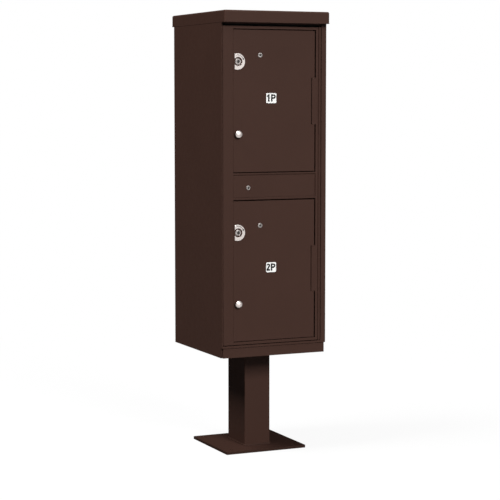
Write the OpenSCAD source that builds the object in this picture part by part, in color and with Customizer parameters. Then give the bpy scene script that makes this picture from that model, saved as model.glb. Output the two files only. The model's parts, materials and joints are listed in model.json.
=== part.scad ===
// Two-compartment parcel locker of the cluster mailbox kind, on a short pedestal.
// Frame: +X is to the right seen from the front, +Y is to the back, +Z is up.
// Origin: centre of the pedestal base plate's underside, on the ground.
// Every lock is shown unlocked and every door closed.

/* [Cabinet] */
// Outside width of the cabinet
cabinet_w = 419; // [414:1:424]
// Outside depth of the cabinet
cabinet_d = 457; // [440:1:480]
// Thickness of the aluminium sheet
sheet = 3; // [2.5:0.5:3]
// Height of the front fascia of the bottom pan
fascia_h = 36; // [30:1:45]
// How far the fascia's ends are set in from the side panels
fascia_inset = 5; // [4:0.5:6]
// Depth of the notch in each side panel's lower front corner
fascia_notch = 11; // [9:1:14]
// Height of the sill strip under the master door
sill_h = 8; // [6:1:10]
// Gap between the sill and the master door
sill_gap = 3; // [3:0.5:5]
// Height of the dark reveal between the master door and the cap
reveal_h = 12; // [9:1:16]

/* [Cap] */
// Height of the cap's skirt
cap_h = 43; // [35:1:55]
// How far the cap stands out past the front
cap_front = 26; // [15:1:35]
// How far the cap stands out past the back
cap_back = 20; // [5:1:30]
// How far the cap stands out past each side
cap_side = 0.5; // [0.5:0.5:3]
// Radius of the cap's rounded edges
cap_r = 6; // [4:1:8]

/* [Parcel doors] */
// Height of each parcel door
door_h = 512; // [480:1:540]
// Mean gap above and below a parcel door
door_gap = 3.5; // [3:0.5:4]
// How far the lower door hangs below the middle of its opening
lower_sag = 1; // [0:0.5:1.5]
// Height of the master door's top and bottom rails
rail_h = 10; // [9:0.5:12]
// Height of the lock band between the two doors
band_h = 97; // [90:1:110]

/* [Door fittings] */
// Distance of the customer lock from the centre line
lock_x = 146; // [144:1:148]
// Customer lock below the door's top edge
lock_drop = 114; // [100:1:130]
// Distance of the control lock from the centre line
control_x = 58; // [54:1:62]
// Control lock above the customer lock
control_rise = 24; // [22:1:26]
// Pull knob below the door's top edge
knob_drop = 375; // [340:1:400]
// Diameter of the pull knob
knob_d = 27; // [22:0.5:28]
// Width of the white number plate
number_w = 40; // [36:1:46]
// Height of the white number plate
number_h = 36; // [32:1:42]
// Number plate's centre below the door's top edge
number_drop = 245; // [220:1:270]

/* [Pedestal] */
// Height from the ground to the cabinet's underside
pedestal_h = 373; // [330:1:420]
// Side of the square base plate
base_w = 324; // [300:1:340]
// Thickness of the base plate
base_t = 10; // [8:0.5:12]
// Distance between neighbouring anchor holes
anchor_pitch = 254; // [240:1:264]
// Diameter of the anchor holes
anchor_d = 12; // [10:0.5:16]
// Width of the post
post_w = 104; // [96:1:120]
// Depth of the post
post_d = 156; // [120:1:170]

/* [Hidden] */
$fn = 48;

bronze = [0.27, 0.20, 0.17];
dark_bronze = [0.20, 0.15, 0.13];
metal = [0.78, 0.78, 0.76];
zinc = [0.62, 0.63, 0.62];
rubber = [0.05, 0.05, 0.05];
white = [0.93, 0.93, 0.91];

// Main planes of the cabinet
front = -cabinet_d / 2;
back = cabinet_d / 2;
side = cabinet_w / 2;
inner = side - sheet;

// Heights, from the ground up
fascia_top = pedestal_h + fascia_h;
sill_top = fascia_top + sill_h;
frame_bottom = sill_top + sill_gap;
opening_h = door_h + 2 * door_gap;
lower_opening = frame_bottom + rail_h;
band_bottom = lower_opening + opening_h;
upper_opening = band_bottom + band_h;
frame_top = upper_opening + opening_h + rail_h;
frame_h = frame_top - frame_bottom;
cap_bottom = frame_top + reveal_h;
roof_z = cap_bottom - 1;
lower_door = lower_opening + door_gap - lower_sag;
upper_door = upper_opening + door_gap;
band_mid = band_bottom + band_h / 2;

// Master door: left edge, parcel door opening, and its hinge at the right
frame_left = -inner + 1.5;
opening_left = frame_left + 40;
master_hinge_x = side - 26.2;
knuckle_r = 6.2;
master_hinge_y = front + 5;
stile_right = master_hinge_x - 7.1;
opening_right = stile_right - 9.4;
return_d = 18;
fold = 2.5;
knuckle_count = 30;
fascia_gap = 1.6;

// Parcel door: its own left edge and its hinge barrel
leaf_left = opening_left + 0.5;
barrel_r = 4;
barrel_x = opening_right - 7.2;
barrel_y = barrel_r - 0.5;
pin_r = 2;
run_gap = 0.05;
hem_d = 12;
third = door_h / 3;

// Depths behind the door's front face at which the lock parts lie
stop_y = 20;
crank_y = 19.5;
crank_t = 2.5;
bar_y = 22.6;
bar_t = 3;
throw = 13;
drive_r = 2.5;
master_lock_x = -105;
master_lock_z = band_mid - 5;
customer_r = 9.4;
customer_head_r = 11.8;
customer_plug_r = 6.5;
control_r = 8;
control_plug_r = 5;
master_plug_r = 4.5;

// A box given by its limits along X, Y and Z
module slab(x, y, z)
    translate([x[0], y[0], z[0]])
        cube([x[1] - x[0], y[1] - y[0], z[1] - z[0]]);

// A round bar along Y, from depth y0 to depth y1
module rod_y(r, y0, y1)
    translate([0, y0, 0])
        rotate([-90, 0, 0])
            cylinder(r = r, h = y1 - y0);

// A rectangle with round corners, centred
module round_rect(w, h, r) {
    square([w - 2 * r, h], center = true);
    square([w, h - 2 * r], center = true);
    for (sx = [-1, 1], sy = [-1, 1])
        translate([sx * (w / 2 - r), sy * (h / 2 - r)])
            circle(r = r);
}

// Children placed on the upper (1) or lower (0) parcel door, from its bottom edge
module on_door(upper)
    translate([0, front, upper == 1 ? upper_door : lower_door])
        children();

// Children placed at the customer lock, control lock or master lock
module at_customer()
    translate([-lock_x, 0, door_h - lock_drop])
        children();
module at_control()
    translate([-control_x, 0, door_h - lock_drop + control_rise])
        children();
module at_knob()
    translate([-lock_x - 1, 0, door_h - knob_drop])
        children();
module at_master()
    translate([master_lock_x, front, master_lock_z])
        children();

// ---- Pedestal ----

module base_plate()
    color(bronze)
        difference() {
            linear_extrude(base_t)
                round_rect(base_w, base_w, 3);
            for (sx = [-1, 1], sy = [-1, 1])
                translate([sx * anchor_pitch / 2, sy * anchor_pitch / 2, -1])
                    cylinder(d = anchor_d, h = base_t + 2);
        }

post_wall = 4;
module post()
    color(bronze)
        translate([0, 0, base_t])
            linear_extrude(pedestal_h - base_t)
                difference() {
                    round_rect(post_w, post_d, 3);
                    square([post_w - 2 * post_wall, post_d - 2 * post_wall], center = true);
                }

// The head bolts' places, the same in the head plate and the pan
head_bolt_r = 5;
module at_head_bolts()
    for (sx = [-1, 1], sy = [-1, 1])
        translate([sx * 30, sy * 48, 0])
            children();

head_plate_t = 6;
module head_plate()
    color(bronze)
        difference() {
            translate([-post_w / 2 + post_wall, -post_d / 2 + post_wall, pedestal_h - head_plate_t])
                cube([post_w - 2 * post_wall, post_d - 2 * post_wall, head_plate_t]);
            at_head_bolts()
                translate([0, 0, pedestal_h - 20])
                    cylinder(r = head_bolt_r, h = 40);
        }

module pedestal_fasteners()
    color(zinc)
        at_head_bolts() {
            translate([0, 0, pedestal_h - head_plate_t - 12])
                cylinder(r = head_bolt_r, h = 12 + head_plate_t + sheet);
            translate([0, 0, pedestal_h + sheet])
                cylinder(r = 9.2, h = 6.4, $fn = 6);
            difference() {
                translate([0, 0, pedestal_h - head_plate_t - 8])
                    cylinder(r = 9.2, h = 8, $fn = 6);
                translate([0, 0, pedestal_h - head_plate_t - 9])
                    cylinder(r = head_bolt_r, h = 10);
            }
        }

// ---- Cabinet ----

module bottom_pan()
    color(bronze)
        difference() {
            union() {
                slab([-inner, inner], [front + fascia_notch, back - sheet],
                     [pedestal_h, fascia_top]);
                slab([-side + fascia_inset, side - fascia_inset],
                     [front + 1.5, front + fascia_notch], [pedestal_h, fascia_top]);
            }
            slab([-inner + sheet, inner - sheet],
                 [front + fascia_notch + sheet, back - 2 * sheet],
                 [pedestal_h + sheet, fascia_top + 1]);
            slab([-side + fascia_inset + sheet, side - fascia_inset - sheet],
                 [front + 1.5 + sheet, front + fascia_notch + sheet + 1],
                 [pedestal_h + sheet, fascia_top + 1]);
            // narrow gap between the fascia and the sill strip above it
            slab([-side, side], [front, front + fascia_notch - 1],
                 [fascia_top - fascia_gap, fascia_top + 1]);
            at_head_bolts()
                translate([0, 0, pedestal_h - 20])
                    cylinder(r = head_bolt_r, h = 40);
        }

module floor_panel()
    color(bronze) {
        slab([-inner, inner - 16.5], [front, front + sheet], [fascia_top, sill_top]);
        slab([-inner, inner - 16.5], [front + sheet, front + 20], [sill_top - sheet, sill_top]);
        slab([-inner, inner], [front + 20, back - sheet], [sill_top - sheet, sill_top]);
        slab([-inner, inner], [back - 2 * sheet, back - sheet], [fascia_top, sill_top - sheet]);
    }

module side_panel()
    color(bronze)
        difference() {
            slab([inner, side], [front, back], [pedestal_h, cap_bottom]);
            slab([inner - 1, side + 1], [front - 1, front + fascia_notch],
                 [pedestal_h - 1, fascia_top]);
        }
module right_side_panel() side_panel();
module left_side_panel() mirror([1, 0, 0]) side_panel();

// Places of the rivets that hold the back panel to the rear corner angles
rivet_r = 2.4;
rivet_rows = 8;
module at_rivets()
    for (sx = [-1, 1], i = [0 : rivet_rows - 1])
        translate([sx * (inner - 10), 0,
                   sill_top + 40 + i * (roof_z - sill_top - 80) / (rivet_rows - 1)])
            children();

module back_panel()
    color(bronze)
        difference() {
            slab([-inner, inner], [back - sheet, back], [pedestal_h, roof_z]);
            at_rivets()
                rod_y(rivet_r, back - 10, back + 10);
        }

angle_t = 2.5;
angle_w = 20;
module rear_corner_angles()
    color(bronze)
        difference() {
            for (m = [0, 1])
                mirror([m, 0, 0]) {
                    slab([inner - angle_w, inner], [back - sheet - angle_t, back - sheet],
                         [sill_top, roof_z - sheet]);
                    slab([inner - angle_t, inner],
                         [back - sheet - angle_w, back - sheet - angle_t],
                         [sill_top, roof_z - sheet]);
                }
            at_rivets()
                rod_y(rivet_r, back - 10, back + 10);
        }

// A rivet along Y: domed head outside, shank, and its set tail inside
module back_rivets()
    color(dark_bronze)
        at_rivets()
            translate([0, back, 0])
                rotate([-90, 0, 0])
                    rotate_extrude()
                        polygon([
                            [0, -sheet - angle_t - 2],
                            [3.2, -sheet - angle_t - 2],
                            [3.2, -sheet - angle_t],
                            [rivet_r, -sheet - angle_t],
                            [rivet_r, 0],
                            for (a = [0 : 10 : 90])
                                [4.8 * cos(a), 0.4 + 1.2 * sin(a)]
                        ]);

rim_h = 22;
module roof_panel()
    color(bronze) {
        difference() {
            slab([-inner, inner], [front + 3, back - sheet], [roof_z - sheet, roof_z]);
            at_cap_screws()
                translate([0, 0, roof_z - 10])
                    cylinder(r = 2.6, h = 20);
        }
        difference() {
            slab([-inner + 1, inner - 1], [front + 3, back - sheet - 1], [roof_z, roof_z + rim_h]);
            slab([-inner + 1 + fold, inner - 1 - fold],
                 [front + 3 + fold, back - sheet - 1 - fold], [roof_z - 1, roof_z + rim_h + 1]);
        }
    }

// The four screws that hold the cap, from below
module at_cap_screws()
    for (sx = [-1, 1], sy = [-1, 1])
        translate([sx * (inner - 40), sy * (back - 45), 0])
            children();

// A box with rounded top and vertical edges, grown inwards by inset
module cap_form(inset) {
    r = cap_r - inset / 2;
    x = side + cap_side - inset - r;
    y0 = front - cap_front + inset + r;
    y1 = back + cap_back - inset - r;
    top = cap_bottom + cap_h - inset - r;
    hull()
        for (px = [-x, x], py = [y0, y1]) {
            translate([px, py, top])
                sphere(r = r, $fn = 32);
            translate([px, py, cap_bottom - (inset > 0 ? 1 : 0)])
                cylinder(r = r, h = 1, $fn = 32);
        }
}

module cap()
    color(bronze) {
        difference() {
            cap_form(0);
            cap_form(sheet);
        }
        // folded lips under the front and back overhangs
        slab([-side, side], [front - cap_front + 1.5, front - cap_front + 12],
             [cap_bottom, cap_bottom + 2]);
        slab([-side, side], [back + 1, back + cap_back - 1.5],
             [cap_bottom, cap_bottom + 2]);
        at_cap_screws()
            difference() {
                translate([0, 0, roof_z])
                    cylinder(r = 7, h = cap_bottom + cap_h - roof_z - sheet + 0.5);
                translate([0, 0, roof_z - 1])
                    cylinder(r = 2.5, h = 24);
            }
    }

module cap_screws()
    color(zinc)
        at_cap_screws() {
            translate([0, 0, roof_z - sheet])
                cylinder(r = 2.5, h = 20);
            translate([0, 0, roof_z - sheet - 2.6])
                cylinder(r1 = 3.6, r2 = 4.8, h = 2.6);
        }

// The shelf narrows at its rear corners, where the corner angles stand
shelf_front = front + 52;
shelf_notch_y = back - sheet - angle_w - 0.5;
shelf_z = band_mid - 2;
module shelf()
    color(bronze) {
        slab([-inner, inner], [shelf_front, shelf_notch_y], [shelf_z, shelf_z + sheet]);
        slab([-inner + angle_t + 0.5, inner - angle_t - 0.5],
             [shelf_notch_y, back - sheet - angle_t], [shelf_z, shelf_z + sheet]);
        slab([-inner, inner], [shelf_front, shelf_front + sheet], [shelf_z - 25, shelf_z]);
        for (m = [0, 1])
            mirror([m, 0, 0])
                slab([inner - angle_t, inner], [shelf_front + sheet, back - 2 * sheet - 20],
                     [shelf_z - 25, shelf_z]);
    }

// Stop for the master door's left edge: a strip welded edge-on to the side panel, with
// nothing behind it, because the master bolt slides in there
jamb_w = 16.5;
module left_jamb()
    color(bronze)
        slab([-inner, -inner + jamb_w], [front + stop_y, front + stop_y + sheet],
             [sill_top, frame_top - 15]);

// Jamb at the right that carries the master door's hinge
module hinge_jamb()
    color(bronze) {
        slab([master_hinge_x + 6.75, inner], [front, front + sheet], [fascia_top, cap_bottom]);
        slab([inner - sheet, inner], [front + sheet, front + 20], [fascia_top, roof_z - sheet]);
    }

module header()
    color(dark_bronze) {
        slab([-inner, inner - sheet], [front + stop_y, front + stop_y + sheet],
             [frame_top - 15, roof_z - sheet]);
        slab([-inner, inner - sheet], [front + stop_y + sheet, front + stop_y + 20],
             [roof_z - 2 * sheet, roof_z - sheet]);
    }

seal_t = 1.7;
module door_seal()
    color(rubber) {
        slab([-inner + 3, -inner + 11], [front + stop_y - seal_t, front + stop_y],
             [sill_top + 8, frame_top - 15]);
        slab([-inner, master_hinge_x - 8], [front + stop_y - seal_t, front + stop_y],
             [frame_top - 8, roof_z - sheet]);
    }

// One leaf of the long hinge: a strip with every second knuckle
module hinge_leaf(first, reach) {
    pitch = frame_h / knuckle_count;
    difference() {
        union() {
            slab([min(0, reach), max(0, reach)], [-2, fold - 2], [0, frame_h]);
            for (i = [first : 2 : knuckle_count - 1])
                translate([0, 0, i * pitch])
                    cylinder(r = knuckle_r, h = pitch);
        }
        for (i = [1 - first : 2 : knuckle_count - 1])
            translate([0, 0, i * pitch - 0.3])
                cylinder(r = knuckle_r + 0.4, h = pitch + 0.6);
        translate([0, 0, -1])
            cylinder(r = 3 + run_gap, h = frame_h + 2);
    }
}

module cabinet_hinge_leaf()
    color(bronze)
        translate([master_hinge_x, master_hinge_y, frame_bottom])
            hinge_leaf(0, inner - sheet - master_hinge_x);

module door_hinge_leaf()
    color(bronze)
        translate([master_hinge_x, master_hinge_y, frame_bottom])
            hinge_leaf(1, stile_right - 6 - master_hinge_x);

// The hinge's pin, with a flat head below that stays clear of the sill
pin_drop = 1;
pin_head = 1.5;
module master_hinge_pin()
    color(bronze)
        translate([master_hinge_x, master_hinge_y, frame_bottom - pin_drop])
            union() {
                cylinder(r = 3, h = frame_h + pin_drop + 2);
                translate([0, 0, -pin_head])
                    cylinder(r = 5, h = pin_head);
            }

// ---- Master door ----

module left_stile()
    color(bronze)
        slab([frame_left, opening_left], [front, front + sheet], [frame_bottom, frame_top]);

// The left stile's two flanges, turned to the back
module left_stile_flanges()
    color(bronze) {
        slab([frame_left, frame_left + fold], [front + sheet, front + return_d],
             [frame_bottom, frame_top]);
        slab([opening_left - fold, opening_left], [front + sheet, front + return_d],
             [frame_bottom, frame_top]);
        // lips behind the free edges of the parcel doors, which the locks catch
        for (z = [lower_opening, upper_opening])
            slab([opening_left, opening_left + 7], [front + return_d - fold, front + return_d],
                 [z, z + opening_h]);
    }

module right_stile()
    color(bronze)
        difference() {
            union() {
                slab([opening_right, stile_right], [front, front + sheet],
                     [frame_bottom, frame_top]);
                slab([opening_right, opening_right + fold], [front + sheet, front + return_d],
                     [frame_bottom, frame_top]);
                // fixed knuckles at the middle third of each parcel door
                for (z = [lower_door, upper_door])
                    slab([barrel_x - 8.4, opening_right], [front, front + 8],
                         [z + third + 0.5, z + 2 * third - 0.5]);
            }
            for (z = [lower_door, upper_door])
                translate([barrel_x, front + barrel_y, z + third - 5])
                    cylinder(r = pin_r, h = third + 10);
        }

// A channel rail across the door, its two flanges turned to the back
module rail(z)
    color(bronze) {
        slab([opening_left, opening_right], [front, front + sheet], [z, z + rail_h]);
        for (dz = [0, rail_h - fold])
            slab([opening_left, opening_right], [front + sheet, front + return_d],
                 [z + dz, z + dz + fold]);
    }
module top_rail() rail(frame_top - rail_h);
module bottom_rail() rail(frame_bottom);

// The band panel lies in a shallow recess of the mid rail
recess_top = 6;
recess_bottom = 8;
recess_d = 3.2;
module mid_rail()
    color(bronze)
        difference() {
            slab([opening_left, opening_right], [front, front + return_d],
                 [band_bottom, band_bottom + band_h]);
            slab([opening_left - 1, opening_right + 1], [front - 1, front + recess_d],
                 [band_bottom + recess_bottom, band_bottom + band_h - recess_top]);
            slab([opening_left - 1, opening_right + 1],
                 [front + recess_d + sheet, front + return_d + 1],
                 [band_bottom + sheet, band_bottom + band_h - sheet]);
            at_master()
                rod_y(7, -10, 40);
        }

module band_panel()
    color(bronze) {
        z0 = band_bottom + recess_bottom + 0.6;
        z1 = band_bottom + band_h - recess_top - 3.2;
        difference() {
            slab([leaf_left, barrel_x], [front, front + sheet], [z0, z1]);
            at_master()
                rod_y(7, -10, 40);
        }
        translate([barrel_x, front, z0])
            difference() {
                translate([0, barrel_r - 0.5, 0])
                    cylinder(r = barrel_r, h = z1 - z0);
                translate([-barrel_r - 1, recess_d, -1])
                    cube([2 * barrel_r + 2, 2 * barrel_r, z1 - z0 + 2]);
            }
    }

module master_lock_case()
    color(zinc)
        at_master()
            difference() {
                slab([-28, 24], [recess_d + sheet, 33], [-24, 24]);
                slab([-26, 22], [recess_d + sheet - 1, 31], [-22, 22]);
                slab([-29, -20], [master_bar_y - 0.5, master_bar_y + 5.5], [-9, 9]);
            }

// A lock housing along Y: a round head on the panel, its rim cut back by rim and sloped down to
// nine tenths of that, and a long barrel behind it
rim_slope = 0.9;
module lock_housing(head_r, head_t, r, plug_r, length, rim)
    difference() {
        rotate([-90, 0, 0])
            rotate_extrude()
                polygon([
                    [0, -head_t],
                    [head_r - rim, -head_t],
                    [head_r, -head_t + rim * rim_slope],
                    [head_r, 0],
                    [r, 0],
                    [r, length],
                    [0, length]
                ]);
        rod_y(plug_r + run_gap, -head_t - 1, length + 1);
    }

// A lock plug with its key slot, keyway wide and high, in the front face and a thin tail behind
module lock_plug(plug_r, front_y, length, tail_r, tail_end, keyway)
    difference() {
        union() {
            rod_y(plug_r, front_y, length);
            rod_y(tail_r, length, tail_end);
        }
        slab([-keyway[0] / 2, keyway[0] / 2], [front_y - 1, front_y + 5],
             [-keyway[1] / 2, keyway[1] / 2]);
    }

// A crank arm on a plug's tail, its drive pin low at rest
module crank(y0, t, pin_end)
    union() {
        rod_y(6.5, y0, y0 + t);
        slab([-4, 4], [y0, y0 + t], [-throw, 0]);
        translate([0, 0, -throw])
            rod_y(4, y0, y0 + t);
        translate([0, 0, -throw])
            rod_y(drive_r, y0 + t, pin_end);
    }

module master_lock_housing()
    color(metal)
        at_master()
            lock_housing(8, 2, 7, master_plug_r, 18, 1.6);

master_crank_y = 20;
master_bar_y = 24;
module master_lock_plug()
    color(metal)
        at_master() {
            lock_plug(master_plug_r, -1.6, 19, 3.5, master_crank_y + 1, [3.4, 6.6]);
            crank(master_crank_y, crank_t, master_bar_y + 5);
        }

// A sliding bar with a tall tail plate, whose slot takes the crank's drive pin
module slide_bar(y0, t, half_bar, end_x)
    difference() {
        union() {
            slab([end_x, -10], [y0, y0 + t], [-half_bar, half_bar]);
            slab([-10.5, 10.5], [y0, y0 + t], [-19, 7]);
        }
        slab([-drive_r - 3.2, drive_r + 3.2], [y0 - 1, y0 + t + 1],
             [-throw - drive_r - 0.5, drive_r + 0.5]);
    }

module master_bolt()
    color(zinc)
        at_master()
            slide_bar(master_bar_y, 5, 8, -inner + jamb_w + 2 - master_lock_x);

module parcel_hinge_pins()
    color(zinc)
        for (z = [lower_door, upper_door])
            translate([barrel_x, front + barrel_y, z + third - 60])
                cylinder(r = pin_r, h = third + 120);

// ---- Parcel doors: every module is placed from the door's bottom edge ----

module door_panel(upper)
    color(bronze)
        on_door(upper)
            difference() {
                union() {
                    slab([leaf_left, barrel_x], [0, sheet], [0, door_h]);
                    slab([leaf_left, leaf_left + fold], [sheet, hem_d], [0, door_h]);
                    for (z = [0, door_h - fold])
                        slab([leaf_left + fold, barrel_x - 16], [sheet, hem_d], [z, z + fold]);
                    for (z = [0, 2 * third])
                        translate([barrel_x, barrel_y, z])
                            cylinder(r = barrel_r, h = third);
                }
                slab([barrel_x - 11.2, barrel_x + 9], [-5, 12], [third, 2 * third]);
                translate([barrel_x, barrel_y, -1])
                    cylinder(r = pin_r + run_gap, h = door_h + 2);
                at_customer()
                    rod_y(customer_r, -5, 10);
                at_control()
                    rod_y(control_r, -5, 10);
                at_knob()
                    rod_y(3, -5, 10);
            }

// A hat section up the back of the door
module door_stiffener(upper)
    color(bronze)
        on_door(upper) {
            for (x = [[20, 34], [66, 80]])
                slab(x, [sheet, sheet + 1.5], [20, door_h - 20]);
            for (x = [[34, 35.5], [64.5, 66]])
                slab(x, [sheet, 14], [20, door_h - 20]);
            slab([35.5, 64.5], [12.5, 14], [20, door_h - 20]);
        }

// A flat disc set a little left of the customer lock, with a round hole for the lock's head,
// and cut straight at its left side
ring_r = 30;
ring_left = 2.4;
ring_hole_r = 16.3;
arrow_r = 24;
arrow_end = 28;
module escutcheon(upper)
    color(metal)
        on_door(upper)
            at_customer()
                difference() {
                    translate([-ring_left, 0, 0])
                        rotate([-90, 0, 0])
                            rotate_extrude()
                                polygon([[0, -2], [ring_r - 0.8, -2], [ring_r, -1.2],
                                         [ring_r, 0], [0, 0]]);
                    rod_y(ring_hole_r, -5, 5);
                    slab([-40, -13.5], [-5, 5], [-40, 40]);
                    // engraved turn arrow, clockwise from the top
                    translate([-ring_left, -1.6, 0])
                        rotate([90, 0, 0])
                            rotate([0, 0, arrow_end]) {
                                rotate_extrude(angle = 72)
                                    translate([arrow_r - 0.9, 0])
                                        square([1.8, 2]);
                                linear_extrude(2)
                                    polygon([[arrow_r - 3.8, 0], [arrow_r + 3.8, 0],
                                             [arrow_r, -7]]);
                            }
                }

module customer_lock(upper)
    color(metal)
        on_door(upper)
            at_customer()
                difference() {
                    lock_housing(customer_head_r, 3.5, customer_r, customer_plug_r, 20, 2.4);
                    // index notch at the right, where the turn arrow points
                    translate([customer_head_r - 0.6, 0, 1.5])
                        rod_y(1.3, -4, -0.5);
                }

module hex_nut(r, across_r, y0, t)
    difference() {
        translate([0, y0, 0])
            rotate([-90, 0, 0])
                cylinder(r = across_r, h = t, $fn = 6);
        rod_y(r, y0 - 1, y0 + t + 1);
    }

module lock_nuts(upper)
    color(zinc)
        on_door(upper) {
            at_customer()
                hex_nut(customer_r, 13.5, sheet, 5);
            at_control()
                hex_nut(control_r, 12, sheet, 4.5);
            at_knob()
                hex_nut(3, 6, sheet, 4);
        }

module customer_plug(upper)
    color(metal)
        on_door(upper)
            at_customer()
                lock_plug(customer_plug_r, -3.1, 20.5, 4, 23.5, [2.6, 9]);

// A flat cam, hanging down at rest, with the screw that holds it on the plug
module customer_cam(upper)
    color(zinc)
        on_door(upper)
            at_customer() {
                difference() {
                    union() {
                        rod_y(8, 21, 23.5);
                        slab([-7, 7], [21, 23.5], [-26, 0]);
                    }
                    rod_y(4, 20, 24);
                }
                translate([0, 23.5, 0])
                    rotate([-90, 0, 0])
                        cylinder(r = 5.5, h = 3.5, $fn = 6);
            }

module control_lock(upper)
    color(metal)
        on_door(upper)
            at_control()
                lock_housing(9, 2.2, control_r, control_plug_r, 18.5, 1.8);

module control_plug(upper)
    color(metal)
        on_door(upper)
            at_control() {
                lock_plug(control_plug_r, -1.8, 19, 3.5, crank_y + 1, [6.4, 2.8]);
                crank(crank_y, crank_t, bar_y + bar_t);
            }

module latch_bar(upper)
    color(zinc)
        on_door(upper)
            at_control()
                slide_bar(bar_y, bar_t, 5, leaf_left + 9 + control_x);

// Two staples that hold the latch bar against the back of the door
module latch_guides(upper)
    color(zinc)
        on_door(upper)
            at_control()
                for (x = [-38, -70]) {
                    for (z = [-8, 6])
                        slab([x - 5, x + 5], [sheet, bar_y + bar_t + 1], [z, z + 2]);
                    slab([x - 5, x + 5], [bar_y + bar_t + 1, bar_y + bar_t + 3], [-8, 8]);
                }

// A domed pull knob on a short neck, with its stud through the door
module knob(upper)
    color(metal)
        on_door(upper)
            at_knob()
                rotate([-90, 0, 0])
                    rotate_extrude($fn = 64)
                        polygon([
                            for (a = [90 : -7.5 : 0])
                                [knob_d / 2 * cos(a), -10 - 6 * sin(a)],
                            [knob_d / 2 - 0.6, -8.8],
                            [knob_d / 2 - 2.5, -8],
                            [7, -6.8],
                            [6, -4.6],
                            [6.6, -2.6],
                            [9, -1.4],
                            [9, 0],
                            [3, 0],
                            [3, sheet + 5],
                            [0, sheet + 5]
                        ]);

module number_plate(upper)
    color(white)
        on_door(upper)
            translate([-14, 0, door_h - number_drop])
                rotate([90, 0, 0])
                    linear_extrude(1)
                        round_rect(number_w, number_h, 4);

base_plate();
post();
head_plate();
pedestal_fasteners();
bottom_pan();
floor_panel();
left_side_panel();
right_side_panel();
back_panel();
rear_corner_angles();
back_rivets();
roof_panel();
cap();
cap_screws();
shelf();
left_jamb();
hinge_jamb();
header();
door_seal();
cabinet_hinge_leaf();
master_hinge_pin();
left_stile();
left_stile_flanges();
right_stile();
top_rail();
mid_rail();
bottom_rail();
door_hinge_leaf();
band_panel();
master_lock_case();
master_lock_housing();
master_lock_plug();
master_bolt();
parcel_hinge_pins();
door_panel(1);  // upper_door_panel
door_stiffener(1);  // upper_door_stiffener
escutcheon(1);  // upper_escutcheon
customer_lock(1);  // upper_customer_lock
lock_nuts(1);  // upper_lock_nuts
customer_plug(1);  // upper_customer_plug
customer_cam(1);  // upper_customer_cam
control_lock(1);  // upper_control_lock
control_plug(1);  // upper_control_plug
latch_bar(1);  // upper_latch_bar
latch_guides(1);  // upper_latch_guides
knob(1);  // upper_knob
number_plate(1);  // upper_number_plate
door_panel(0);  // lower_door_panel
door_stiffener(0);  // lower_door_stiffener
escutcheon(0);  // lower_escutcheon
customer_lock(0);  // lower_customer_lock
lock_nuts(0);  // lower_lock_nuts
customer_plug(0);  // lower_customer_plug
customer_cam(0);  // lower_customer_cam
control_lock(0);  // lower_control_lock
control_plug(0);  // lower_control_plug
latch_bar(0);  // lower_latch_bar
latch_guides(0);  // lower_latch_guides
knob(0);  // lower_knob
number_plate(0);  // lower_number_plate
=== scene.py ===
"""Looks for the two-compartment parcel locker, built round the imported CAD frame.

Lengths are in metres in the row frame: +X right, +Y to the back, +Z up.
"""

import json
import math

import bpy
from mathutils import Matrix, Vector


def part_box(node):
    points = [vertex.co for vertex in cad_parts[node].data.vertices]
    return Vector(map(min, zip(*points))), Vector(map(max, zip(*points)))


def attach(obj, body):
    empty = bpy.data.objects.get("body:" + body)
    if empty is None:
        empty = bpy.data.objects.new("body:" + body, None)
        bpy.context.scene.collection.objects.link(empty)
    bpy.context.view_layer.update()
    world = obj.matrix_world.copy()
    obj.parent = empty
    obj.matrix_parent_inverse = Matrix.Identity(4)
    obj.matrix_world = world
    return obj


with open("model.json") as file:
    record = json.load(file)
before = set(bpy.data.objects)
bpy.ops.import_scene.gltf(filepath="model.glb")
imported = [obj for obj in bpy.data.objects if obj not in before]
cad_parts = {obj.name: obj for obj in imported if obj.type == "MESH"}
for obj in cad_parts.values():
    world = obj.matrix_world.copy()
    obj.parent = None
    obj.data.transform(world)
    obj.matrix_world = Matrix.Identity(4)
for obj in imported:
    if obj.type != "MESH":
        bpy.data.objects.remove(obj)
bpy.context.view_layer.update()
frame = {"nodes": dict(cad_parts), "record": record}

NODES = frame["nodes"]
MM = 0.001
DOORS = ("upper", "lower")

# colour sockets of a Mix node, whose names repeat for its other data types
MIX_A, MIX_B, MIX_RESULT = 6, 7, 2


# ---- Materials ----

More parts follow.
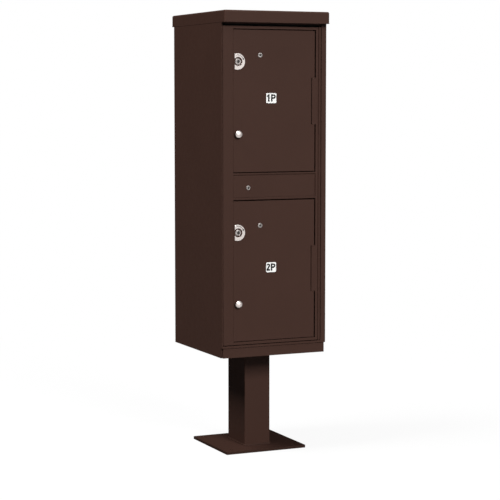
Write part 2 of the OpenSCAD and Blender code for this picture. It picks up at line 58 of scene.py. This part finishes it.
class Graph:
    """One material's node tree, with short calls for the nodes used here."""

    def __init__(self, name):
        self.mat = bpy.data.materials.new(name)
        self.mat.use_nodes = True
        self.tree = self.mat.node_tree
        self.tree.nodes.clear()
        self.shader = self.add("BsdfPrincipled")
        out = self.add("OutputMaterial")
        self.link(self.shader.outputs["BSDF"], out.inputs["Surface"])
        self.place = self.add("TexCoord").outputs["Object"]

    def add(self, kind, **settings):
        node = self.tree.nodes.new("ShaderNode" + kind)
        for key, value in settings.items():
            setattr(node, key, value)
        return node

    def link(self, a, b):
        self.tree.links.new(a, b)

    def put(self, socket, value):
        """Links a socket, or sets a constant."""
        if isinstance(value, bpy.types.NodeSocket):
            self.link(value, socket)
        else:
            socket.default_value = value

    def stretched(self, scale):
        """Object coordinates scaled by a different amount along each axis."""
        node = self.add("Mapping")
        self.link(self.place, node.inputs["Vector"])
        node.inputs["Scale"].default_value = scale
        return node.outputs["Vector"]

    def noise(self, scale, detail=2.0, rough=0.5, vector=None):
        node = self.add("TexNoise")
        self.link(vector or self.place, node.inputs["Vector"])
        node.inputs["Scale"].default_value = scale
        node.inputs["Detail"].default_value = detail
        node.inputs["Roughness"].default_value = rough
        return node.outputs["Fac"]

    def cells(self, scale):
        """Smooth cell pattern, the pebbles of a powder coat."""
        node = self.add("TexVoronoi", feature="SMOOTH_F1")
        self.link(self.place, node.inputs["Vector"])
        node.inputs["Scale"].default_value = scale
        return node.outputs["Distance"]

    def span(self, value, lo, hi, to_lo=0.0, to_hi=1.0):
        node = self.add("MapRange")
        self.put(node.inputs["Value"], value)
        for key, v in (("From Min", lo), ("From Max", hi), ("To Min", to_lo), ("To Max", to_hi)):
            node.inputs[key].default_value = v
        return node.outputs["Result"]

    def math(self, operation, a, b=0.0):
        node = self.add("Math", operation=operation)
        self.put(node.inputs[0], a)
        self.put(node.inputs[1], b)
        return node.outputs[0]

    def mix(self, share, a, b):
        node = self.add("Mix", data_type="RGBA")
        self.put(node.inputs[0], share)
        self.put(node.inputs[MIX_A], a)
        self.put(node.inputs[MIX_B], b)
        return node.outputs[MIX_RESULT]

    def rounded(self, radius):
        """The surface normal with its edges rounded off by that radius."""
        node = self.add("Bevel", samples=4)
        node.inputs["Radius"].default_value = radius
        return node.outputs["Normal"]

    def edges(self, normal, hardness):
        """1 on the object's edges and 0 on its flats, from a rounded normal."""
        dot = self.add("VectorMath", operation="DOT_PRODUCT")
        self.link(normal, dot.inputs[0])
        self.link(self.add("NewGeometry").outputs["Normal"], dot.inputs[1])
        return self.span(dot.outputs["Value"], 1.0, hardness, 0.0, 1.0)

    def bump(self, height, strength, distance, normal=None):
        node = self.add("Bump")
        self.link(height, node.inputs["Height"])
        node.inputs["Strength"].default_value = strength
        node.inputs["Distance"].default_value = distance
        if normal is not None:
            self.link(normal, node.inputs["Normal"])
        return node.outputs["Normal"]

    def finish(self, colour, rough, normal, metallic=0.0, specular=0.5):
        self.put(self.shader.inputs["Base Color"], colour)
        self.put(self.shader.inputs["Roughness"], rough)
        self.shader.inputs["Metallic"].default_value = metallic
        self.shader.inputs["Specular IOR Level"].default_value = specular
        if normal is not None:
            self.link(normal, self.shader.inputs["Normal"])
        return self.mat


def rgb(r, g, b):
    return (r, g, b, 1.0)


def tinted(colour, k):
    return rgb(*(min(1.0, c * k) for c in colour))


def powder_coat(name, colour, edge_wear_and_sheen=0.35):
    """Satin powder coat: pebbled skin, faint drifts of tone, and edges lighter partly from
    thinner, worn coat and partly as a painted highlight.
    """
    g = Graph(name)
    round_normal = g.rounded(1.1 * MM)
    drift = g.noise(5.0, 3.0)
    cloud = g.noise(38.0, 4.0, 0.6)
    tone = g.mix(g.span(drift, 0.3, 0.7), tinted(colour, 0.97), tinted(colour, 1.03))
    tone = g.mix(g.span(cloud, 0.35, 0.75, 0.0, 0.16), tone, tinted(colour, 1.12))
    edge = g.edges(round_normal, 0.93)
    patchy = g.span(g.noise(210.0, 3.0, 0.65), 0.38, 0.62)
    # edges lightened in patches: partly wear, partly a painted highlight along the edges
    worn_and_lit_edge = g.math("MULTIPLY", edge, g.math("MULTIPLY", patchy, edge_wear_and_sheen))
    tone = g.mix(worn_and_lit_edge, tone, tinted(colour, 2.4))
    rough = g.span(g.noise(60.0, 4.0, 0.6), 0.3, 0.7, 0.44, 0.54)
    peel = g.math("ADD", g.cells(620.0), g.math("MULTIPLY", g.noise(1500.0, 2.0), 0.5))
    return g.finish(tone, rough, g.bump(peel, 0.16, 0.25 * MM, round_normal), specular=0.05)


def brushed(name, colour, low, high, grain=(1.0, 1.0, 1.0), strength=0.08, specular=0.5):
    """Turned or brushed metal: fine grain along one direction, with handling marks."""
    g = Graph(name)
    round_normal = g.rounded(0.5 * MM)
    lines = g.noise(900.0, 3.0, 0.6, g.stretched(grain))
    smear = g.noise(130.0, 4.0, 0.6)
    tone = g.mix(g.span(lines, 0.3, 0.7), tinted(colour, 0.90), tinted(colour, 1.06))
    tone = g.mix(g.span(smear, 0.5, 0.8, 0.0, 0.3), tone, tinted(colour, 0.82))
    rough = g.span(g.math("ADD", g.math("MULTIPLY", lines, 0.6), g.math("MULTIPLY", smear, 0.4)),
                   0.3, 0.7, low, high)
    return g.finish(tone, rough, g.bump(lines, strength, 0.05 * MM, round_normal),
                    metallic=1.0, specular=specular)


def polished(name, colour):
    """Bright metal, hazed and finely scratched by hands, as a pull in use has."""
    g = Graph(name)
    haze = g.noise(55.0, 4.0, 0.6)
    hair = g.noise(700.0, 2.0, 0.5, g.stretched((0.15, 1.0, 2.2)))
    tone = g.mix(g.span(haze, 0.4, 0.75, 0.0, 0.25), tinted(colour, 1.0), tinted(colour, 0.86))
    rough = g.span(haze, 0.3, 0.75, 0.38, 0.48)
    return g.finish(tone, rough, g.bump(hair, 0.03, 0.03 * MM), metallic=1.0)


def zinc_plate(name, colour):
    """Dull zinc: cloudy spangle in the plating."""
    g = Graph(name)
    spangle = g.cells(190.0)
    cloud = g.noise(70.0, 4.0, 0.6)
    tone = g.mix(g.span(spangle, 0.1, 0.7), tinted(colour, 0.84), tinted(colour, 1.06))
    tone = g.mix(g.span(cloud, 0.45, 0.75, 0.0, 0.35), tone, rgb(0.47, 0.43, 0.33))
    rough = g.span(cloud, 0.3, 0.7, 0.34, 0.56)
    return g.finish(tone, rough, g.bump(g.noise(500.0, 3.0), 0.1, 0.08 * MM, g.rounded(0.4 * MM)),
                    metallic=0.9)


def rubber(name, colour):
    """Foam rubber: fine pores and a dusty bloom."""
    g = Graph(name)
    pores = g.cells(1300.0)
    bloom = g.noise(45.0, 4.0, 0.65)
    tone = g.mix(g.span(bloom, 0.45, 0.8, 0.0, 0.5), tinted(colour, 1.0), tinted(colour, 2.2))
    rough = g.span(bloom, 0.3, 0.7, 0.72, 0.88)
    return g.finish(tone, rough, g.bump(pores, 0.35, 0.2 * MM), specular=0.2)


def plate_plastic(name, colour):
    """White engraved-plate plastic, satin, a little soiled towards its edges."""
    g = Graph(name)
    round_normal = g.rounded(0.5 * MM)
    soil = g.noise(160.0, 4.0, 0.6)
    tone = g.mix(g.span(soil, 0.5, 0.8, 0.0, 0.2), tinted(colour, 1.0), tinted(colour, 0.9))
    edge = g.math("MULTIPLY", g.edges(round_normal, 0.95), 0.3)
    tone = g.mix(edge, tone, rgb(0.6, 0.58, 0.54))
    rough = g.span(soil, 0.3, 0.7, 0.34, 0.46)
    return g.finish(tone, rough, g.bump(g.noise(1200.0, 2.0), 0.05, 0.05 * MM, round_normal))


def black_print(name):
    """Baked black fill, slightly uneven."""
    g = Graph(name)
    mottle = g.noise(420.0, 4.0, 0.6)
    tone = g.mix(g.span(mottle, 0.35, 0.75), rgb(0.006, 0.006, 0.006), rgb(0.022, 0.021, 0.020))
    rough = g.span(mottle, 0.3, 0.7, 0.5, 0.66)
    return g.finish(tone, rough, g.bump(mottle, 0.15, 0.05 * MM), specular=0.12)


BRONZE = (0.0507, 0.0249, 0.0185)
bronze_coat = powder_coat("bronze_coat", BRONZE)
# darker coat for the header in the reveal under the cap: painted shade that deepens the dark band
# there
header_shade_coat = powder_coat("header_shade_coat", tuple(c * 0.8 for c in BRONZE), edge_wear_and_sheen=0.2)
# darker coat for the base plate and its weld: painted shade for the cabinet's shadow on them, not
# a different coat
base_shadow_coat = powder_coat("base_shadow_coat", tuple(c * 0.72 for c in BRONZE), edge_wear_and_sheen=0.2)
satin_metal = brushed("satin_metal", (0.73, 0.665, 0.632), 0.24, 0.38)
lock_metal = brushed("lock_metal", (0.48, 0.44, 0.42), 0.26, 0.38, strength=0.12)
dull_metal = brushed("dull_metal", (0.40, 0.37, 0.355), 0.32, 0.46, strength=0.12)
# near-black plug faces: painted shade for the dark centre that a dished lock face shows
plug_shade_metal = brushed("plug_shade_metal", (0.11, 0.10, 0.095), 0.32, 0.44, strength=0.12)
polished_metal = polished("polished_metal", (0.70, 0.635, 0.605))
zinc_steel = zinc_plate("zinc_steel", (0.60, 0.61, 0.60))
seal_rubber = rubber("seal_rubber", (0.012, 0.012, 0.012))
number_white = plate_plastic("number_white", (0.90, 0.90, 0.88))
print_black = black_print("print_black")

SLOT_MATERIAL = {
    "bronze_coat": bronze_coat, "satin_metal": satin_metal, "polished_metal": polished_metal,
    "zinc_steel": zinc_steel, "seal_rubber": seal_rubber, "number_white": number_white,
}
# nodes whose look differs from their slot's; the header's and the base plate's darker coats are
# painted shade
OWN_MATERIAL = {"header": header_shade_coat, "base_plate": base_shadow_coat}
for lock in ("upper_customer_lock", "lower_customer_lock"):
    OWN_MATERIAL[lock] = lock_metal
for lock in ("master_lock_housing", "upper_control_lock", "lower_control_lock"):
    OWN_MATERIAL[lock] = dull_metal
# the plugs take the near-black metal, which is painted shade
for plug in ("master_lock_plug", "upper_control_plug", "lower_control_plug",
             "upper_customer_plug", "lower_customer_plug"):
    OWN_MATERIAL[plug] = plug_shade_metal


def give(piece, material):
    piece.data.materials.clear()
    piece.data.materials.append(material)


for row in frame["record"]["subparts"]:
    name = row["node"]
    give(NODES[name], OWN_MATERIAL.get(name, SLOT_MATERIAL[row["material_slot"]]))


# ---- Pieces built here ----

def centre(node):
    lo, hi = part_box(node)
    return (lo + hi) / 2


def mesh_piece(name, verts, faces, material, body, smooth=False):
    mesh = bpy.data.meshes.new(name)
    mesh.from_pydata([tuple(v) for v in verts], [], faces)
    mesh.validate()
    mesh.polygons.foreach_set("use_smooth", [smooth] * len(mesh.polygons))
    piece = bpy.data.objects.new(name, mesh)
    bpy.context.scene.collection.objects.link(piece)
    give(piece, material)
    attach(piece, body)
    return piece


def outline_piece(name, outlines, at, thickness, material, body):
    """Flat shapes in the front plane, from closed outlines in mm with holes; at is the centre."""
    curve = bpy.data.curves.new(name + "_outline", "CURVE")
    curve.dimensions = "2D"
    curve.fill_mode = "BOTH"
    curve.extrude = thickness / 2
    for points in outlines:
        spline = curve.splines.new("POLY")
        spline.points.add(len(points) - 1)
        for p, (x, z) in zip(spline.points, points):
            p.co = (x * MM, z * MM, 0, 1)
        spline.use_cyclic_u = True
    shape = bpy.data.objects.new(name + "_outline", curve)
    bpy.context.scene.collection.objects.link(shape)
    flat = bpy.data.meshes.new_from_object(shape)
    verts = [(at[0] + v.co.x, at[1] - v.co.z, at[2] + v.co.y) for v in flat.vertices]
    faces = [tuple(p.vertices) for p in flat.polygons]
    bpy.data.objects.remove(shape)
    bpy.data.curves.remove(curve)
    bpy.data.meshes.remove(flat)
    return mesh_piece(name, verts, faces, material, body)


def arc(cx, cz, r, start, end, steps=18):
    """Points on an arc, in degrees counter-clockwise from the right."""
    turn = [math.radians(start + (end - start) * i / steps) for i in range(steps + 1)]
    return [(cx + r * math.cos(a), cz + r * math.sin(a)) for a in turn]


# The marks' outlines, in mm from the middle of the number plate: each digit stands left of the
# letter. MARK_H is half their height, and BOWL_R the radius of the letter's bowl.
MARK_H = 13.2
BOWL_R = 8.1
BOWL_Z = MARK_H - BOWL_R
DIGIT_ONE = [[(-7.0, -MARK_H), (-13.2, -MARK_H), (-13.2, 4.6), (-17.4, 2.6), (-17.4, 8.4),
              (-11.8, MARK_H), (-7.0, MARK_H)]]
DIGIT_TWO = [arc(-11.3, 6.0, 7.2, 175, -40) + [(-9.9, -7.3), (-4.4, -7.3), (-4.4, -MARK_H),
             (-18.4, -MARK_H), (-18.4, -8.2)] + arc(-11.3, 6.0, 1.4, -40, 175)]
LETTER_P = [[(-1.2, -MARK_H), (4.8, -MARK_H), (4.8, BOWL_Z - BOWL_R)]
            + arc(9.4, BOWL_Z, BOWL_R, -90, 90) + [(-1.2, MARK_H)],
            [(4.8, BOWL_Z - 2.6)] + arc(9.2, BOWL_Z, 2.6, -90, 90) + [(4.8, BOWL_Z + 2.6)]]

MARK_RAISE = 0.6 * MM
MARK_THICK = 0.24 * MM

# The turn arrow engraved in each escutcheon, in mm and degrees counter-clockwise from the right.
# The head is drawn at the right and turned to ARROW_FROM.
RING_R = 30
ARROW_R = 24
ARROW_FROM = 28
ARROW_TO = 99
SHAFT_HALF = 0.7
HEAD = ((ARROW_R - 3.5, -0.1), (ARROW_R, -6.7), (ARROW_R + 3.5, -0.1))
FILL_THICK = 0.3 * MM
FILL_INSET = 0.4 * MM


def turned(x, z, degrees):
    """A point turned counter-clockwise about the origin."""
    a = math.radians(degrees)
    return (math.cos(a) * x - math.sin(a) * z, math.sin(a) * x + math.cos(a) * z)


for door, digit in (("upper", DIGIT_ONE), ("lower", DIGIT_TWO)):
    # the compartment's mark on its number plate
    plate = centre(door + "_number_plate")
    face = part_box(door + "_number_plate")[0].y
    outline_piece(door + "_number_mark", digit + LETTER_P, (plate.x, face, plate.z + MARK_RAISE),
                  MARK_THICK, print_black, door + "_door")

    # black fill in the escutcheon's engraved arrow
    ring_lo, ring_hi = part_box(door + "_escutcheon")
    ring_x = ring_hi.x - RING_R * MM
    ring_z = (ring_lo.z + ring_hi.z) / 2
    shaft = (arc(0, 0, ARROW_R + SHAFT_HALF, ARROW_FROM + 1, ARROW_TO)
             + arc(0, 0, ARROW_R - SHAFT_HALF, ARROW_TO, ARROW_FROM + 1))
    head = [turned(x, z, ARROW_FROM) for x, z in HEAD]
    outline_piece(door + "_arrow_fill", [shaft, head], (ring_x, ring_lo.y + FILL_INSET, ring_z),
                  FILL_THICK, print_black, door + "_door")

# Black sheets just inside the key slots, painted shade that darkens the keyways: width and height
# in mm, and the body of each
KEYWAY_SHADE_INSET = 0.7 * MM
KEYWAY_SHADE_THICK = 0.3 * MM
KEYWAY_SHADES = [("master_lock_plug", 3.4, 6.6, "master_lock")]
for door in DOORS:
    KEYWAY_SHADES.append((door + "_customer_plug", 2.6, 9.0, door + "_customer_turn"))
    KEYWAY_SHADES.append((door + "_control_plug", 6.4, 2.8, door + "_control_turn"))
for plug, slot_w, slot_h, body in KEYWAY_SHADES:
    joint = next(j for j in frame["record"]["behaviour"]["joints"] if j["child"] == body)
    x, _, z = joint["pos_m"]
    outline = [(-slot_w / 2, -slot_h / 2), (slot_w / 2, -slot_h / 2),
               (slot_w / 2, slot_h / 2), (-slot_w / 2, slot_h / 2)]
    outline_piece(plug + "_keyway_shade", [outline], (x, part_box(plug)[0].y + KEYWAY_SHADE_INSET, z),
                  KEYWAY_SHADE_THICK, print_black, body)


WELD_LEG = 6 * MM
WELD_STEP = 1.1 * MM
RIPPLE_PITCH = 3.1 * MM
RIPPLE_SHARE = 0.09
POST_CORNER = 3 * MM


def weld_bead(name, half_w, half_d, corner, z, size, body):
    """A rippled fillet weld round the foot of the post, on the plate below it."""
    # the post's outline: a centre for each point, and the direction outward from it
    path = []
    corners = ((1, -1, -90), (1, 1, 0), (-1, 1, 90), (-1, -1, 180))
    corner_steps = 8
    for sx, sy, start in corners:
        cx, cy = sx * (half_w - corner), sy * (half_d - corner)
        for i in range(corner_steps + 1):
            a = math.radians(start + 90 * i / corner_steps)
            path.append((cx, cy, math.cos(a), math.sin(a)))

    # the same outline with points close enough to show the ripples
    dense = []
    for (x0, y0, nx0, ny0), (x1, y1, nx1, ny1) in zip(path, path[1:] + path[:1]):
        run = math.hypot(x1 - x0, y1 - y0)
        steps = max(1, int(run / WELD_STEP))
        for k in range(steps):
            t = k / steps
            dense.append((x0 + t * (x1 - x0), y0 + t * (y1 - y0),
                          nx0 + t * (nx1 - nx0), ny0 + t * (ny1 - ny0)))

    # a bulging quarter section at each point, its ends sunk a little into post and plate
    across = 8
    sink_out, sink_up = 0.2 * MM, 0.1 * MM
    verts, length, last = [], 0.0, None
    for x, y, nx, ny in dense:
        n = math.hypot(nx, ny)
        px, py = x + corner * nx / n, y + corner * ny / n
        if last:
            length += math.hypot(px - last[0], py - last[1])
        last = (px, py)
        ripple = 1 + RIPPLE_SHARE * abs(math.sin(math.pi * length / RIPPLE_PITCH))
        for j in range(across + 1):
            a = math.pi / 2 * j / across
            bulge = size * ripple * (0.80 + 0.10 * math.sin(2 * a))
            out = bulge * math.cos(a) * (1 if j else 1.06) - sink_out
            up = bulge * math.sin(a) * (1 if j < across else 1.06) - sink_up
            verts.append((px + nx / n * out, py + ny / n * out, z + up))
    count = len(dense)
    faces = []
    for i in range(count):
        a, b = i * (across + 1), ((i + 1) % count) * (across + 1)
        faces += [(a + j, b + j, b + j + 1, a + j + 1) for j in range(across)]
    # the weld takes the base plate's darker coat, which is painted shade
    return mesh_piece(name, verts, faces, base_shadow_coat, body, smooth=True)


post_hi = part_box("post")[1]
plate_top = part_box("base_plate")[1].z
weld_bead("post_weld", post_hi.x, post_hi.y, POST_CORNER, plate_top, WELD_LEG, "root")


BUMPER_R = 2.6 * MM
BUMPER_H = 2.4 * MM
BUMPER_FROM_END = 60 * MM
# from the parcel door's face back to the lip that the bumpers sit on
LIP_DEPTH = 15.5 * MM


def bumper(name, at, r, h, body):
    """A low round rubber bumper, facing the front."""
    profile = [(r, 0), (r, -0.55 * h), (0.92 * r, -0.82 * h), (0.7 * r, -h), (0, -h)]
    turns = 20
    verts = []
    for radius, y in profile[:-1]:
        for i in range(turns):
            a = 2 * math.pi * i / turns
            verts.append((at[0] + radius * math.cos(a), at[1] + y, at[2] + radius * math.sin(a)))
    verts.append((at[0], at[1] - h, at[2]))
    faces = []
    for k in range(len(profile) - 2):
        for i in range(turns):
            j = (i + 1) % turns
            faces.append((k * turns + i, k * turns + j, (k + 1) * turns + j, (k + 1) * turns + i))
    base = (len(profile) - 2) * turns
    faces += [(base + i, base + (i + 1) % turns, len(verts) - 1) for i in range(turns)]
    return mesh_piece(name, verts, faces, seal_rubber, body, smooth=True)


for door in DOORS:
    lo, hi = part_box(door + "_door_panel")
    for place, z in (("top", hi.z - BUMPER_FROM_END), ("bottom", lo.z + BUMPER_FROM_END)):
        bumper(door + "_bumper_" + place, (lo.x + BUMPER_R, lo.y + LIP_DEPTH, z),
               BUMPER_R, BUMPER_H, "master_door")


# ---- Floor, light and camera ----

FLOOR_R = 40.0
# the floor has faded into the surround at this distance
FADE_END = 3.0
# how bright metal mirrors the floor, and how much light the floor throws back on the object
FLOOR_GLOW = 0.08
FLOOR_GREY = 0.16
AMBIENT = 0.02


def floor_material():
    """Pale matt floor that fades into the white surround with distance.

    What is seen of it is near white. The light it throws back on the object, and what metal
    mirrors of it, is that of a dark grey floor, so that undersides stay dark.
    """
    g = Graph("floor_pale")
    fleck = g.noise(3.0, 5.0, 0.6)
    tone = g.mix(g.span(fleck, 0.3, 0.7), rgb(0.90, 0.90, 0.90), rgb(0.93, 0.93, 0.93))
    g.finish(tone, g.span(fleck, 0.3, 0.7, 0.7, 0.85), g.bump(g.noise(60.0), 0.05, 0.2 * MM),
             specular=0.1)
    far = g.add("VectorMath", operation="LENGTH")
    g.link(g.place, far.inputs[0])
    glow = g.add("Emission")
    blend = g.add("MixShader")
    g.link(g.span(far.outputs["Value"], 0.0, FADE_END, 0.9, 1.0), blend.inputs[0])
    g.link(g.shader.outputs["BSDF"], blend.inputs[1])
    g.link(glow.outputs[0], blend.inputs[2])
    grey = g.add("BsdfDiffuse")
    grey.inputs["Color"].default_value = rgb(FLOOR_GREY, FLOOR_GREY, FLOOR_GREY)
    rays = g.add("LightPath")
    mirrored = g.add("Emission")
    mirrored.inputs["Strength"].default_value = FLOOR_GLOW
    unseen = g.add("MixShader")
    g.link(rays.outputs["Is Glossy Ray"], unseen.inputs[0])
    g.link(grey.outputs[0], unseen.inputs[1])
    g.link(mirrored.outputs[0], unseen.inputs[2])
    pick = g.add("MixShader")
    g.link(rays.outputs["Is Camera Ray"], pick.inputs[0])
    g.link(unseen.outputs[0], pick.inputs[1])
    g.link(blend.outputs[0], pick.inputs[2])
    out = next(n for n in g.tree.nodes if n.type == "OUTPUT_MATERIAL")
    g.link(pick.outputs[0], out.inputs["Surface"])
    return g.mat


def make_floor(radius, turns=96):
    verts = [(0, 0, 0)] + [(radius * math.cos(2 * math.pi * i / turns),
                            radius * math.sin(2 * math.pi * i / turns), 0) for i in range(turns)]
    faces = [(0, 1 + i, 1 + (i + 1) % turns) for i in range(turns)]
    mesh = bpy.data.meshes.new("floor")
    mesh.from_pydata(verts, [], faces)
    piece = bpy.data.objects.new("floor", mesh)
    bpy.context.scene.collection.objects.link(piece)
    give(piece, floor_material())


make_floor(FLOOR_R)


def surround():
    """White to the eye, but a dim even room for light and reflections."""
    world = bpy.data.worlds.new("surround")
    bpy.context.scene.world = world
    world.use_nodes = True
    tree = world.node_tree
    tree.nodes.clear()
    pick = tree.nodes.new("ShaderNodeMixShader")
    for socket, strength in ((1, AMBIENT), (2, 1.0)):
        glow = tree.nodes.new("ShaderNodeBackground")
        glow.inputs["Color"].default_value = rgb(1.0, 1.0, 1.0)
        glow.inputs["Strength"].default_value = strength
        tree.links.new(glow.outputs[0], pick.inputs[socket])
    rays = tree.nodes.new("ShaderNodeLightPath")
    tree.links.new(rays.outputs["Is Camera Ray"], pick.inputs[0])
    out = tree.nodes.new("ShaderNodeOutputWorld")
    tree.links.new(pick.outputs[0], out.inputs["Surface"])


surround()


def softbox(name, at, look, size, power, mirror_only=False):
    """A soft rectangular light, in metres and watts; a mirror-only one lights metal alone."""
    light = bpy.data.lights.new(name, "AREA")
    light.shape = "RECTANGLE"
    light.size, light.size_y = size
    light.energy = power
    lamp = bpy.data.objects.new(name, light)
    bpy.context.scene.collection.objects.link(lamp)
    lamp.visible_diffuse = not mirror_only
    lamp.visible_camera = False
    lamp.location = at
    lamp.rotation_euler = (Vector(look) - Vector(at)).to_track_quat("-Z", "Y").to_euler()


# the lights that shape the object: front from above, left from high above, and a weak top light
softbox("key", (2.52, -18.2, 10.28), (0, 0, 0.6), (6.6, 6.6), 4200)
softbox("left", (-8.2, 0.1, 13.5), (0, 0, 0.2), (6.2, 6.2), 2820)
softbox("high", (0.3, -2.9, 6.0), (0, 0, 0.9), (2.2, 2.2), 24)

# pale studio walls for the metal to mirror
softbox("card", (1.75, -4.25, 1.0), (0, -0.2, 1.0), (1.1, 2.3), 9, mirror_only=True)
softbox("ceiling", (-0.4, -1.6, 4.2), (-0.1, -0.3, 1.0), (3.0, 2.4), 20, mirror_only=True)
softbox("sweep", (-0.3, -2.6, 0.04), (-0.3, -2.6, 1.0), (4.6, 4.0), 48, mirror_only=True)
softbox("wall", (-3.2, -1.3, 0.9), (0, -0.2, 0.9), (2.0, 1.8), 10, mirror_only=True)
softbox("right", (3.4, -1.6, 1.1), (0, -0.2, 0.9), (2.4, 2.2), 11, mirror_only=True)
softbox("front", (-3.4, -7.6, 1.75), (0, -0.2, 1.0), (5.0, 3.5), 24, mirror_only=True)

# a long lens, from the front left, looking a little down
SENSOR_MM = 36
LENS_MM = 118.5
CAMERA_AT = (-2.5668, -5.6597, 1.3182)
LOOK_DOWN_DEG = 5.288
TURN_DEG = -24.44

camera = bpy.data.cameras.new("camera")
camera.sensor_width = SENSOR_MM
camera.lens = LENS_MM
viewer = bpy.data.objects.new("camera", camera)
bpy.context.scene.collection.objects.link(viewer)
viewer.location = CAMERA_AT
viewer.rotation_euler = (math.radians(90 - LOOK_DOWN_DEG), 0, math.radians(TURN_DEG))
bpy.context.scene.camera = viewer
bpy.context.scene.view_settings.view_transform = "Standard"
